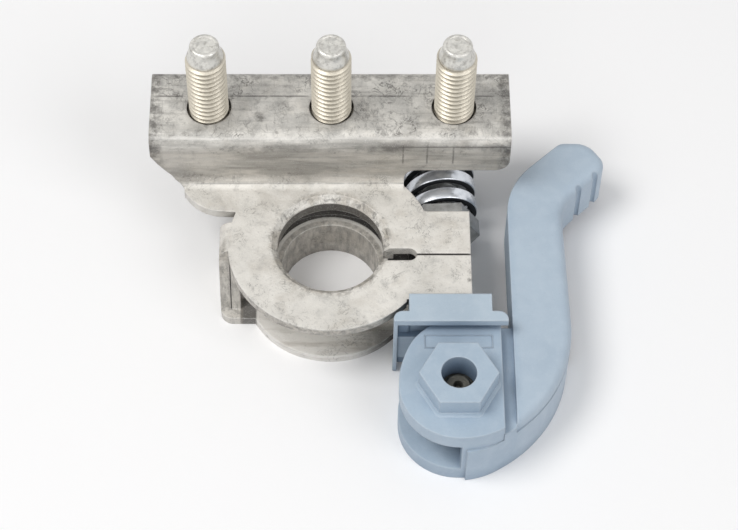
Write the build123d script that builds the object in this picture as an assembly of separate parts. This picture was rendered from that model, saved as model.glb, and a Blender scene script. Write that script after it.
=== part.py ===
from build123d import *
import math
import os

# Battery terminal clamp. Millimetres, +Z up.
# The origin is on the axis of the post bore, at the underside of the lower plate.
# +Y points from the bore to the stud bar.

# Sheet of the folded clamp body
sheet = 2.0
body_height = 16.5
fold_gap = 0.3
bend_radius = 0.6

# Rings and drawn collars round the battery post
upper_ring_radius = 20.0
lower_ring_radius = 17.0
upper_bore_radius = 10.35
lower_bore_radius = 9.45
collar_wall = 2.0
upper_collar_depth = 3.6
lower_collar_height = 9.0
upper_rim_chamfer = 1.2

# Left side of the plates and the side fold
fold_outer_x = -21.8
fold_back_y = 5.0
fold_front_bottom_y = -6.5
fold_front_top_y = -1.6
foot_front_y = -8.2
foot_corner_radius = 2.5
lower_plate_back_y = 15.6
seam_width = 0.2
seam_depth = 0.6

# Flare from the ring to the stud bar, smooth from the plate into the web
flare_front = (-18.7, 7.5)
flare_turn = (-22.4, 7.7)
flare_bulge = (-26.3, 9.4)
flare_root_x = -28.9

# Stud bar, a channel that opens downward
bar_left_x = -35.3
bar_right_x = 35.2
bar_front_y = 15.0
bar_back_y = 32.6
bar_rise = 13.5
channel_depth = 10.0
web_slope = [(-30.7, 1.0), (-32.4, 3.1), (-34.0, 5.5)]
web_slope_top = 8.0
bar_corner_radius = 3.0
web_root_radius = 2.5
cavity_left_x = 14.5
cavity_corner_radius = 2.5

# Studs
stud_radius = 4.0
stud_spacing = 23.95
stud_middle_x = 0.2
stud_y = 23.0
stud_length = 19.3
stud_shoulder_radius = 4.2
stud_shoulder_rise = 0.1
stud_hole_clearance = 0.15
stud_nose_radius = 3.3
stud_nose_length = 3.2
stud_tip_radius = 2.4
stud_head_radius = 5.0
stud_head_thickness = 3.0

# Arm, clamping slot and jaws
arm_right_x = 27.3
arm_back_y = 7.6
lower_arm_relief = 0.5
jaw_left_x = 15.5
jaw_front_y = -13.0
slot_width = 2.8
slot_y = -2.6
slot_end_x = 16.8
split_width = 0.4

# Pivot pin and tension bolt
pin_x = 24.1
pin_y = -31.3
pin_radius = 2.5
pin_running_clearance = 0.05
bolt_z = 7.65
bolt_slant = 2.6
shank_radius = 3.5
thread_radius = 4.0
thread_start = 33.0
bolt_length = 62.0
bolt_tip_chamfer = 0.8
eye_radius = 6.2
bolt_hole_radius = 4.6

# Spring, its hexagonal seat, the washer and the lock nut
hex_width = 13.0
seat_length = 3.6
seat_bore_clearance = 0.08
spring_radius = 7.4
spring_wire_radial = 1.6
spring_wire_axial = 1.9
spring_pitch = 4.18
spring_length = 11.0
washer_radius = 7.4
washer_thickness = 1.5
nut_length = 6.5

# Lever: cheeks, slot, boss and handle
cheek_thickness = 3.5
upper_cheek_bottom = 11.8
cam_radius = 14.0
cam_dwell_angle = 22.0
cam_release_radius = 11.1
cam_bottom_radius = 11.5
cam_fall = [(0.22, 0.32), (0.59, 0.82)]
cam_fall_start = (-0.75, -0.66)
cheek_heel = 2.2
cheek_right = 8.5
groove_right = 10.9
groove_floor = 12.9
slot_radius = 8.5
slot_end_offset = 0.6
wall_top = 10.8
handle_top = 14.0
handle_bottom = 3.0
handle_bottom_start = 14.0
handle_bottom_end = 70.0
handle_right = 21.8
hub_side = (22.3, 15.5)
hub_corner = (8.5, -9.5)
hub_ledge = 0.45
heel_middle = (5.2, -11.2)
wall_end = (1.6, -12.05)
handle_bend_start = 39.5
handle_bend_radius = 8.0
handle_bend_angle = 46.0
tip_straight = 10.4
tip_end = (27.9, 58.3)
tip_back = (23.2, 58.3)
tip_root = (15.6, 51.2)
tip_root_start = 40.0
tip_radii = [3.0, 4.8, 4.5]
handle_shoulder = 2.0
handle_wall = 2.4
handle_skin = 0.4
core_starts = [-3.0, 13.0, 27.0]
core_length = 11.6
boss_width = 13.0
boss_height = 4.5
boss_hole_radius = 3.35
boss_hole_floor = 13.5
grip_groove_radius = 0.75
grip_groove_places = [1.9, 6.7]
grip_groove_top = 0.3

# Extent of cutting shapes that only have to reach past the lever
cut_reach = 80.0

# Pin details
pin_head_radius = 4.0
pin_head_thickness = 1.5
pin_head_bottom = 0.4
head_recess_clearance = 0.3
pin_top = 15.3
pin_dimple_radius = 0.9
pin_dimple_depth = 1.2
pin_top_chamfer = 0.35
retainer_radius = 3.2
retainer_thickness = 0.6

# Pressure block
block_left_x = 15.1
block_right_x = 30.9
block_bottom = 0.3
block_top = 18.5
wing_left_x = 12.1
wing_right_x = 33.9
wing_corner_radius = 1.8
cam_gap = 0.4
lip_front_y = -19.2
lip_thickness = 1.6
tongue_front_y = -18.3
cheek_clearance = 0.4
wing_wall = 0.8
right_wing_start_x = 31.0

# Worked out from the dimensions above
upper_plate_bottom = body_height - sheet
bar_top = body_height + bar_rise
flange_bottom = bar_top - channel_depth
bar_underside = bar_top - sheet
pin_point = (pin_x, pin_y, 0)
bearing_y = pin_y + cam_radius + cam_gap
upper_cheek_top = upper_cheek_bottom + cheek_thickness
boss_top = upper_cheek_top + boss_height
eye_clearance = 0.3
eye_thickness = upper_cheek_bottom - cheek_thickness - 2 * eye_clearance
eye_z = (upper_cheek_bottom + cheek_thickness) / 2
jaw_rear_distance = (arm_back_y - pin_y) / math.cos(math.radians(bolt_slant))
seat_start = jaw_rear_distance
spring_start = seat_start + seat_length
washer_start = spring_start + spring_length
nut_start = washer_start + washer_thickness
bend_turn = math.radians(handle_bend_angle)
side_lean = math.atan2(hub_side[0] - handle_right, handle_bend_start - hub_side[1])
tip_start = (
    handle_right + handle_bend_radius * (math.cos(side_lean) - math.cos(bend_turn)),
    handle_bend_start + handle_bend_radius * (math.sin(side_lean) + math.sin(bend_turn)),
)


def along_tip(distance):
    """Point on the front of the tip, at a distance from the end of the bend."""
    return (tip_start[0] + distance * math.sin(bend_turn), tip_start[1] + distance * math.cos(bend_turn))


def on_bolt(distance):
    """Plane square to the bolt's axis, at a distance from the pin's axis, with its normal along the bolt."""
    slant = math.radians(bolt_slant)
    along = Vector(-math.sin(slant), math.cos(slant), 0)
    origin = Vector(pin_x, pin_y, bolt_z) + along * distance
    return Plane(origin=origin, x_dir=(math.cos(slant), math.sin(slant), 0), z_dir=along)


def prism(profile, low, high):
    """Profile in the XY plane, raised from one height to another."""
    return extrude(Pos(0, 0, low) * profile, high - low)


def elevation(points, front, back):
    """Outline in the XZ plane, carried from front to back along Y."""
    face = make_face(Polyline(*[(x, 0, z) for x, z in points], close=True))
    return extrude(Pos(0, front, 0) * face, amount=back - front, dir=(0, 1, 0))


def block_between(low, high):
    """Box between two corners."""
    size = [b - a for a, b in zip(low, high)]
    return Pos(*low) * Box(*size, align=(Align.MIN, Align.MIN, Align.MIN))


def vertical_edges(solid, corners, reach=0.05):
    """The upright edges that stand at the given corners."""
    found = []
    for edge in solid.edges().filter_by(Axis.Z):
        centre = edge.center()
        if any(math.hypot(centre.X - x, centre.Y - y) < reach for x, y in corners):
            found.append(edge)
    return found


def channel_section():
    """Section of the stud bar from the upper plate over the top to the back flange."""
    half = sheet / 2
    path_points = [
        (0, bar_front_y - web_root_radius - fold_gap, body_height - half),
        (0, bar_front_y + half, body_height - half),
        (0, bar_front_y + half, bar_top - half),
        (0, bar_back_y - half, bar_top - half),
        (0, bar_back_y - half, flange_bottom),
    ]
    radii = [web_root_radius + half, bend_radius + half, bend_radius + half]
    path = FilletPolyline(*path_points, radius=radii)
    start_y = path_points[0][1]
    pen = Line((0, start_y, upper_plate_bottom), (0, start_y, body_height))
    return sweep(pen, path=path)


def upper_plate_plan():
    """Plan of the upper plate: ring, arm and the flare that widens to the bar."""
    root = (flare_root_x, bar_front_y - web_root_radius)
    inner = (flare_front[0], 0)
    front = Polyline(inner, flare_front, flare_turn)
    flare = ThreePointArc(flare_turn, flare_bulge, root)
    rest = Polyline(root, (cavity_left_x, root[1]), (cavity_left_x, 0), inner)
    plan = make_face(front + flare + rest) + Circle(upper_ring_radius)
    arm = Rectangle(arm_right_x, arm_back_y - jaw_front_y, align=(Align.MIN, Align.MIN))
    plan += Pos(0, jaw_front_y) * arm
    notch = Rectangle(upper_ring_radius, upper_ring_radius, align=(Align.MIN, Align.MAX))
    return plan - Pos(block_left_x - cheek_clearance, jaw_front_y) * notch


def lower_plate_plan():
    """Plan of the lower plate: ring, arm, foot and the field under the upper plate."""
    fold_inner_x = fold_outer_x + sheet
    field = Polyline(
        (fold_inner_x + bend_radius, fold_back_y),
        (fold_inner_x + bend_radius, lower_plate_back_y),
        (cavity_left_x - fold_gap, lower_plate_back_y),
        (cavity_left_x - fold_gap, foot_front_y),
        (fold_inner_x + bend_radius, foot_front_y),
        close=True,
    )
    plan = make_face(field) + Circle(lower_ring_radius)
    foot_width = -fold_outer_x - lower_ring_radius / 2
    foot = Rectangle(foot_width, fold_back_y - foot_front_y, align=(Align.MIN, Align.MIN))
    foot = Pos(fold_outer_x, foot_front_y) * foot
    corner = foot.vertices().sort_by_distance((fold_outer_x, foot_front_y))[0]
    plan += fillet(corner, foot_corner_radius)
    arm_length = arm_back_y - lower_arm_relief - jaw_front_y
    arm = Rectangle(arm_right_x - jaw_left_x + 2, arm_length, align=(Align.MIN, Align.MIN))
    return plan + Pos(jaw_left_x - 2, jaw_front_y) * arm


def side_fold():
    """The bend that joins the two plates at the left, lined by an inner flange, with slanted front edges."""
    half = sheet / 2
    inside_x = fold_outer_x + 2 * sheet + bend_radius
    path = FilletPolyline(
        (inside_x, 0, half),
        (fold_outer_x + half, 0, half),
        (fold_outer_x + half, 0, body_height - half),
        (inside_x, 0, body_height - half),
        radius=bend_radius + half,
    )
    pen = Line((inside_x, 0, 0), (inside_x, 0, sheet))
    section = sweep(pen, path=path)
    strip = extrude(Pos(0, foot_front_y, 0) * section, amount=fold_back_y - foot_front_y, dir=(0, 1, 0))
    seam_x = fold_outer_x + sheet
    inner_top = (seam_x + sheet, fold_back_y, body_height - half)
    strip += block_between((seam_x, foot_front_y, half), inner_top)
    front = make_face(
        Polyline(
            (0, fold_front_bottom_y, 0),
            (0, fold_front_top_y, body_height),
            (0, fold_back_y, body_height),
            (0, fold_back_y, 0),
            close=True,
        )
    )
    wall = strip & extrude(Pos(fold_outer_x, 0, 0) * front, amount=-fold_outer_x, dir=(1, 0, 0))
    leaf = extrude(Pos(seam_x, 0, 0) * front, amount=seam_width, dir=(1, 0, 0))
    seam = leaf - Pos(0, seam_depth, 0) * leaf
    seam &= block_between((seam_x, foot_front_y, sheet), (seam_x + sheet, fold_back_y, upper_plate_bottom))
    return wall - seam


def stud_bar():
    """The channel with the cut that frees the spring at the right and the slope at the left."""
    section = channel_section()
    channel = extrude(Pos(bar_left_x, 0, 0) * section, amount=bar_right_x - bar_left_x, dir=(1, 0, 0))
    web = elevation(
        [
            (bar_left_x, bar_top),
            (bar_right_x, bar_top),
            (bar_right_x, flange_bottom),
            (cavity_left_x, flange_bottom),
            (cavity_left_x, upper_plate_bottom),
            (flare_root_x, upper_plate_bottom),
            (flare_root_x, body_height),
            *[(x, body_height + rise) for x, rise in web_slope],
            (bar_left_x, body_height + web_slope_top),
        ],
        bar_front_y - web_root_radius - 2 * sheet,
        bar_front_y + 1.5 * sheet,
    )
    along_y = web.edges().filter_by(Axis.Y)
    right_corner = along_y.sort_by_distance((bar_right_x, bar_front_y, flange_bottom))[0]
    web = fillet(right_corner, bar_corner_radius)
    along_y = web.edges().filter_by(Axis.Y)
    cavity_corner = along_y.sort_by_distance((cavity_left_x, bar_front_y, flange_bottom))[0]
    web = fillet(cavity_corner, cavity_corner_radius)
    rear = elevation(
        [
            (bar_left_x, bar_top),
            (bar_right_x, bar_top),
            (bar_right_x, flange_bottom),
            (bar_left_x, flange_bottom),
        ],
        bar_front_y + 1.5 * sheet,
        bar_back_y,
    )
    low_corners = rear.edges().filter_by(Axis.Y).group_by(Axis.Z)[0]
    rear = fillet(low_corners, bar_corner_radius)
    return channel & (web + rear)


def clamp_body():
    """The folded sheet: two plates, side fold, collars, jaws and the stud bar."""
    body = prism(upper_plate_plan(), upper_plate_bottom, body_height)
    body += prism(lower_plate_plan(), 0, sheet)
    body += side_fold()
    body += stud_bar()
    upper_collar = Circle(upper_bore_radius + collar_wall)
    body += prism(upper_collar, body_height - upper_collar_depth, body_height)
    lower_collar = Circle(lower_bore_radius + collar_wall)
    body += prism(lower_collar, 0, lower_collar_height)
    body += rear_jaw() + front_jaw()
    lift = (lower_collar_height + body_height) / 2
    body -= prism(Circle(upper_bore_radius), lift, body_height)
    body -= prism(Circle(lower_bore_radius), 0, lift)
    rim = body.edges().filter_by(GeomType.CIRCLE).sort_by_distance((upper_bore_radius, 0, body_height))[0]
    body = chamfer(rim, upper_rim_chamfer)
    for x in stud_places():
        hole = Pos(x, stud_y) * Circle(stud_shoulder_radius + stud_hole_clearance)
        body -= prism(hole, bar_underside - 1, bar_top + 1)
    body -= clamping_slot()
    hole_start = (jaw_front_y - pin_y) / 2
    body -= extrude(on_bolt(hole_start) * Circle(bolt_hole_radius), seat_start + 1 - hole_start)
    return body


def rear_jaw():
    """Flange folded down at the arm's back edge, square to the bolt."""
    width = arm_right_x - jaw_left_x
    height = upper_plate_bottom - sheet - fold_gap + sheet / 2
    face = on_bolt(seat_start).origin
    slab = Box(width, sheet, height, align=(Align.CENTER, Align.MAX, Align.MIN))
    slab = Pos((arm_right_x + jaw_left_x) / 2 - face.X, 0, 0) * slab
    return Pos(face.X, face.Y, sheet + fold_gap) * Rot(0, 0, bolt_slant) * slab


def front_jaw():
    """Flange folded down at the arm's front edge, where the block bears."""
    low = (jaw_left_x, jaw_front_y, sheet + fold_gap)
    high = (arm_right_x, jaw_front_y + sheet, body_height - sheet / 2)
    return block_between(low, high)


def clamping_slot():
    """The round-ended slot from the bore and the fine split that parts the two jaws."""
    end_radius = slot_width / 2
    straight = Rectangle(slot_end_x - end_radius, slot_width, align=(Align.MIN, Align.CENTER))
    slot = Pos(0, slot_y) * straight + Pos(slot_end_x - end_radius, slot_y) * Circle(end_radius)
    split = Rectangle(arm_right_x, split_width, align=(Align.MIN, Align.CENTER))
    slot += Pos(1, slot_y) * split
    return prism(slot, -1, body_height + 1)


def stud_places():
    """X of the three studs."""
    return [stud_middle_x + n * stud_spacing for n in (-1, 0, 1)]


def stud(x):
    """Press-in stud: head under the bar, shank, slimmer nose and chamfered tip."""
    top = bar_top + stud_length
    nose_start = top - stud_nose_length
    tip_drop = stud_nose_radius - stud_tip_radius
    shoulder_top = bar_top + stud_shoulder_rise
    half_section = Polyline(
        (0, 0, bar_underside - stud_head_thickness),
        (stud_head_radius, 0, bar_underside - stud_head_thickness),
        (stud_head_radius, 0, bar_underside),
        (stud_shoulder_radius, 0, bar_underside),
        (stud_shoulder_radius, 0, shoulder_top),
        (stud_radius, 0, shoulder_top),
        (stud_radius, 0, nose_start - (stud_radius - stud_nose_radius)),
        (stud_nose_radius, 0, nose_start),
        (stud_nose_radius, 0, top - tip_drop),
        (stud_tip_radius, 0, top),
        (0, 0, top),
        close=True,
    )
    return Pos(x, stud_y, 0) * revolve(make_face(half_section), Axis.Z)


def eye_bolt():
    """Tension bolt with a flat eye at the pin and a threaded rear end."""
    bolt = extrude(on_bolt(0) * Circle(shank_radius), thread_start)
    bolt += extrude(on_bolt(thread_start) * Circle(thread_radius), bolt_length - thread_start)
    tip = bolt.edges().filter_by(GeomType.CIRCLE).sort_by_distance(on_bolt(bolt_length).origin)[0]
    bolt = chamfer(tip, bolt_tip_chamfer)
    eye = Pos(pin_x, pin_y) * Circle(eye_radius)
    bolt += prism(eye, eye_z - eye_thickness / 2, eye_z + eye_thickness / 2)
    return bolt - Pos(*pin_point) * Cylinder(pin_radius + pin_running_clearance, 4 * eye_thickness)


def pivot_pin():
    """Pin with a flat head below and a dimpled plain end above."""
    pin = Cylinder(pin_radius, pin_top - pin_head_bottom, align=(Align.CENTER, Align.CENTER, Align.MIN))
    pin += Cylinder(pin_head_radius, pin_head_thickness, align=(Align.CENTER, Align.CENTER, Align.MIN))
    pin = Pos(0, 0, pin_head_bottom) * pin
    rim = pin.edges().filter_by(GeomType.CIRCLE).group_by(Axis.Z)[-1]
    pin = chamfer(rim, pin_top_chamfer)
    down = (Align.CENTER, Align.CENTER, Align.MAX)
    dimple = Cone(pin_dimple_radius / 2, pin_dimple_radius, pin_dimple_depth, align=down)
    pin -= Pos(0, 0, pin_top) * dimple
    return Pos(*pin_point) * pin


def pin_retainer():
    """Push-on ring round the plain end of the pin, in the floor of the boss hole."""
    ring = Circle(retainer_radius) - Circle(pin_radius)
    return Pos(*pin_point) * prism(ring, boss_hole_floor, boss_hole_floor + retainer_thickness)


def hexagon(width):
    """Hexagon by its width across flats, with a corner on the X axis."""
    return RegularPolygon(width / 2, 6, major_radius=False)


def spring_seat():
    """Hexagonal seat between the rear jaw and the spring."""
    profile = hexagon(hex_width) - Circle(thread_radius + seat_bore_clearance)
    return extrude(on_bolt(seat_start) * profile, seat_length)


def spring():
    """Flat-wire compression spring with ground ends."""
    turns_height = spring_length + 2 * spring_wire_axial
    middle = spring_radius - spring_wire_radial / 2
    helix = Helix(spring_pitch, turns_height, middle)
    start = Plane(origin=helix @ 0, x_dir=(1, 0, 0), z_dir=helix % 0)
    wire = start * Rectangle(spring_wire_radial, spring_wire_axial)
    coil = sweep(wire, path=helix, is_frenet=True)
    coil = Pos(0, 0, -spring_wire_axial) * coil
    keep = Cylinder(spring_radius + 1, spring_length, align=(Align.CENTER, Align.CENTER, Align.MIN))
    return on_bolt(spring_start).location * (coil & keep)


def spring_washer():
    """Flat washer between the spring and the lock nut."""
    profile = Circle(washer_radius) - Circle(thread_radius + seat_bore_clearance)
    return extrude(on_bolt(washer_start) * profile, washer_thickness)


def lock_nut():
    """Hexagonal nut at the rear end of the bolt."""
    profile = hexagon(hex_width) - Circle(thread_radius)
    return extrude(on_bolt(nut_start) * profile, nut_length)


def cam_profile():
    """Cheek outline about the pin: flat, dwell arc, falling release curve and round bottom."""
    dwell = math.radians(90 + cam_dwell_angle)
    corner = (cam_radius * math.cos(dwell), cam_radius * math.sin(dwell))
    halfway = math.radians(90 + cam_dwell_angle / 2)
    crown = (cam_radius * math.cos(halfway), cam_radius * math.sin(halfway))
    top = Line((cheek_right, cam_radius), (0, cam_radius))
    arc = ThreePointArc((0, cam_radius), crown, corner)
    points = [corner]
    for turned, dropped in cam_fall:
        angle = dwell + turned * (math.pi - dwell)
        radius = cam_radius - dropped * (cam_radius - cam_release_radius)
        points.append((radius * math.cos(angle), radius * math.sin(angle)))
    fall = Spline(*points, (-cam_release_radius, 0), tangents=[cam_fall_start, (0, -1)])
    diagonal = (cam_release_radius + cam_bottom_radius) / 2 / math.sqrt(2)
    bottom_left = ThreePointArc((-cam_release_radius, 0), (-diagonal, -diagonal), (0, -cam_bottom_radius))
    heel_top = cheek_heel - cam_bottom_radius
    heel_bulge = (cheek_right / 2, heel_top - 0.8 * cheek_heel)
    bottom_right = ThreePointArc((0, -cam_bottom_radius), heel_bulge, (cheek_right, heel_top))
    side = Line((cheek_right, heel_top), (cheek_right, cam_radius))
    return make_face(top + arc + fall + bottom_left + bottom_right + side)


def handle_outer_side(corner):
    """Outer side of the handle: the sweep round the hub, the straight and the bend toward the tip."""
    up = (-math.sin(side_lean), math.cos(side_lean))
    bend_foot = (handle_right, handle_bend_start)
    sweep_round = TangentArc(hub_side, corner, tangent=(-up[0], -up[1]))
    straight = Line(hub_side, bend_foot)
    bend = TangentArc(bend_foot, tip_start, tangent=up)
    return sweep_round + straight + bend


def handle_plan():
    """Plan of the handle from the wrap wall round the pin to the bent tip."""
    tip = FilletPolyline(tip_start, along_tip(tip_straight), tip_end, tip_back, tip_root, radius=tip_radii)
    high = TangentArc((groove_right, tip_root_start), tip_root, tangent=(0, 1))
    slot_side = (slot_end_offset, slot_end_offset - slot_radius)
    inner = Polyline((groove_right, tip_root_start), (groove_right, 0), slot_side, wall_end)
    heel = ThreePointArc(wall_end, heel_middle, hub_corner)
    return make_face(handle_outer_side(hub_corner) + tip + high + inner + heel)


def handle_envelope():
    """Larger solid whose top edge is rounded only along the outer side and the end of the tip."""
    beyond = (tip_end[0] + 8 * (tip_back[0] - tip_end[0]), tip_end[1] + 8 * (tip_back[1] - tip_end[1]))
    tip = FilletPolyline(tip_start, along_tip(tip_straight), tip_end, beyond, radius=tip_radii[:2])
    corner = (hub_corner[0], hub_corner[1] + hub_ledge)
    far = 2 * cam_radius
    back = Polyline(beyond, (-far, beyond[1]), (-far, -far), (corner[0], -far), corner)
    envelope = prism(make_face(handle_outer_side(corner) + tip + back), wall_top, handle_top)
    top_edges = envelope.edges().group_by(Axis.Z)[-1]
    straight = top_edges.sort_by_distance((handle_right, handle_bend_start / 2, handle_top))[0]
    return fillet(straight, handle_shoulder)


def handle(plan):
    """Solid handle with a rounded outer shoulder, raised underside and cored pockets."""
    region = Pos(groove_right, -slot_radius) * Rectangle(cut_reach, cut_reach, align=(Align.MIN, Align.MIN))
    arm = prism(plan & region, 0, wall_top) + (prism(plan & region, wall_top, handle_top) & handle_envelope())
    clearance = [(0, -1), (2 * handle_right, -1), (2 * handle_right, handle_bottom), (0, handle_bottom)]
    arm -= elevation(clearance, handle_bottom_start, handle_bottom_end)
    core = offset(plan & region, -handle_wall)
    for y in core_starts:
        strip = Pos(0, y) * Rectangle(cut_reach, core_length, align=(Align.MIN, Align.MIN))
        arm -= prism(core & strip, -1, handle_top - handle_wall - handle_skin)
    return arm


def lever():
    """Cam lever moulded in one piece: two cheeks, wrap wall, boss and handle."""
    plan = handle_plan()
    groove = Rectangle(groove_right - cheek_right, cam_radius + slot_radius / 2, align=(Align.MIN, Align.MAX))
    below = Rectangle(groove_right - cheek_right, 2 * cam_radius, align=(Align.MIN, Align.MAX))
    web = Pos(cheek_right, cam_radius) * groove + (plan & Pos(cheek_right, 0) * below)
    body = handle(plan) + prism(web, 0, groove_floor)
    handle_field = Rectangle(cut_reach, cut_reach, align=(Align.MIN, Align.MIN))
    body += prism(plan - Pos(groove_right, 0) * handle_field, 0, wall_top)
    body += prism(cam_profile(), 0, upper_cheek_top)
    body -= lever_slot()
    body += prism(hexagon(boss_width), upper_cheek_top, boss_top)
    body -= prism(Circle(pin_radius + pin_running_clearance), -1, boss_top)
    body -= prism(Circle(boss_hole_radius), boss_hole_floor, boss_top + 1)
    recess = Circle(pin_head_radius + head_recess_clearance)
    body -= prism(recess, -1, pin_head_bottom + pin_head_thickness)
    for distance in grip_groove_places:
        groove = Pos(*along_tip(distance)) * Circle(grip_groove_radius)
        body -= prism(groove, 0, handle_top - grip_groove_top)
    return Pos(*pin_point) * body


def lever_slot():
    """The slot between the cheeks, open from the block round the left to the wall's end."""
    far = 2 * cam_radius
    opening = Circle(slot_radius)
    opening += Rectangle(far, 2 * far, align=(Align.MAX, Align.CENTER))
    opening += Rectangle(cheek_right, far, align=(Align.MIN, Align.MIN))
    opening += Rectangle(slot_end_offset, far, align=(Align.MIN, Align.MAX))
    return prism(opening, cheek_thickness, upper_cheek_bottom)


def pressure_block():
    """Block between the cam cheeks and the front jaw, with a pocket for each cheek."""
    body = block_between((block_left_x, bearing_y, block_bottom), (block_right_x, jaw_front_y, block_top))
    flange = block_between((wing_left_x, lip_front_y, block_bottom), (wing_right_x, bearing_y, block_top))
    corners = [(x, y) for x in (wing_left_x, wing_right_x) for y in (bearing_y,)]
    flange = fillet(vertical_edges(flange, corners), wing_corner_radius)
    upper_pocket_bottom = upper_cheek_bottom - cheek_clearance
    lower_pocket_top = cheek_thickness + cheek_clearance
    lip_bottom = block_top - lip_thickness
    pocket_left_x = wing_left_x + wing_wall
    far_x = wing_right_x + 1
    far_y = lip_front_y - 1
    flange -= block_between((pocket_left_x, far_y, upper_pocket_bottom), (far_x, bearing_y, lip_bottom))
    flange -= block_between((pocket_left_x, far_y, -1), (far_x, bearing_y, lower_pocket_top))
    flange -= block_between((pocket_left_x, far_y, -1), (far_x, tongue_front_y, lip_bottom))
    flange -= block_between((right_wing_start_x, far_y, -1), (far_x, bearing_y, lip_bottom))
    block = body + flange
    return block - extrude(on_bolt(0) * Circle(bolt_hole_radius), jaw_rear_distance)


def main():
    """Build every piece and write one STEP file for each."""
    os.makedirs("parts", exist_ok=True)
    parts = {
        "clamp_body": clamp_body(),
        "eye_bolt": eye_bolt(),
        "pivot_pin": pivot_pin(),
        "pin_retainer": pin_retainer(),
        "spring_seat": spring_seat(),
        "spring": spring(),
        "spring_washer": spring_washer(),
        "lock_nut": lock_nut(),
        "lever": lever(),
        "pressure_block": pressure_block(),
    }
    for name, x in zip(("left", "middle", "right"), stud_places()):
        parts["stud_" + name] = stud(x)
    for name, shape in parts.items():
        export_step(shape, "parts/" + name + ".step")


if __name__ == "__main__":
    main()
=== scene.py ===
import math

import bpy
import bmesh
from mathutils import Matrix, Vector

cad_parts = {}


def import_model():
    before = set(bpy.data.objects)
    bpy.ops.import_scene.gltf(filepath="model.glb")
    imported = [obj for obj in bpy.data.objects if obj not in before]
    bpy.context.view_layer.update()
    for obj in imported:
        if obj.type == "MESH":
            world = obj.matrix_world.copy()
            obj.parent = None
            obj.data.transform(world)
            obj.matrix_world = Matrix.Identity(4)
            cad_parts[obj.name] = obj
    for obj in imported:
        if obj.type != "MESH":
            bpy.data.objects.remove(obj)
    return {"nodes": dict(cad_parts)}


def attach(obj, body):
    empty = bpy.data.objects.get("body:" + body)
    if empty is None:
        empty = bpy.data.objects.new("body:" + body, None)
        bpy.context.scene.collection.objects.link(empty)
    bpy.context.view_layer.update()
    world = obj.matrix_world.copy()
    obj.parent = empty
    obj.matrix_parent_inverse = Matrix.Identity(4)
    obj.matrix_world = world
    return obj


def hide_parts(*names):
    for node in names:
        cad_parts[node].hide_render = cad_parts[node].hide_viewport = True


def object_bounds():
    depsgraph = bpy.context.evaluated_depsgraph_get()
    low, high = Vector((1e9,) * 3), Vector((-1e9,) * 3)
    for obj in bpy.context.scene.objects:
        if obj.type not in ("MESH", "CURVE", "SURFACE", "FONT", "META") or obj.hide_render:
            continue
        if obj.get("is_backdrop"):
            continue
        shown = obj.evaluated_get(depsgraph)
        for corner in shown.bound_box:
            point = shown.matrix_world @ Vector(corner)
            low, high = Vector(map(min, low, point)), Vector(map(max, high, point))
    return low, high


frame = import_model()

# Lengths are written in millimetres, in the row frame
MM = 0.001
# The tension bolt's slanted axis starts at the lever's pin
SLANT = math.radians(2.6)
PIN_X, PIN_Y, PIN_Z = 24.1, -31.3, 7.65
ALONG = Vector((-math.sin(SLANT), math.cos(SLANT), 0))
TO_BOLT = Matrix.Translation((PIN_X, PIN_Y, PIN_Z)) @ ALONG.to_track_quat("Z", "Y").to_matrix().to_4x4()
# Studs, and the thread that they share with the bolt
STUD_X = {"left": -23.75, "middle": 0.2, "right": 24.15}
STUD_Y = 23.0
STUD_TURN = 40
THREAD_TOP = 45.4
THREAD_PITCH = 1.25
THREAD_DEPTH = 0.56
# Upper face of the lever's cheek, and how deep the forms on it start
CHEEK_TOP = 15.3
SUNK = 0.02
# The camera, as solved from the photograph
ELEVATION = 56.3
CAMERA_DISTANCE = 456
CAMERA_RIGHT = 2.85
CAMERA_UP = 4.9

nodes = frame["nodes"]


def save_bounds(name, data):
    low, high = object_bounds()
    data[name] = {"low": [float(v) for v in low], "high": [float(v) for v in high]}


sizes = {}
save_bounds("loaded", sizes)


# Materials

# Sockets of a colour Mix node
MIX_FACTOR, MIX_A, MIX_B, MIX_OUT = 0, 6, 7, 2
# Indices of the axes
X, Y, Z = 0, 1, 2


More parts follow.
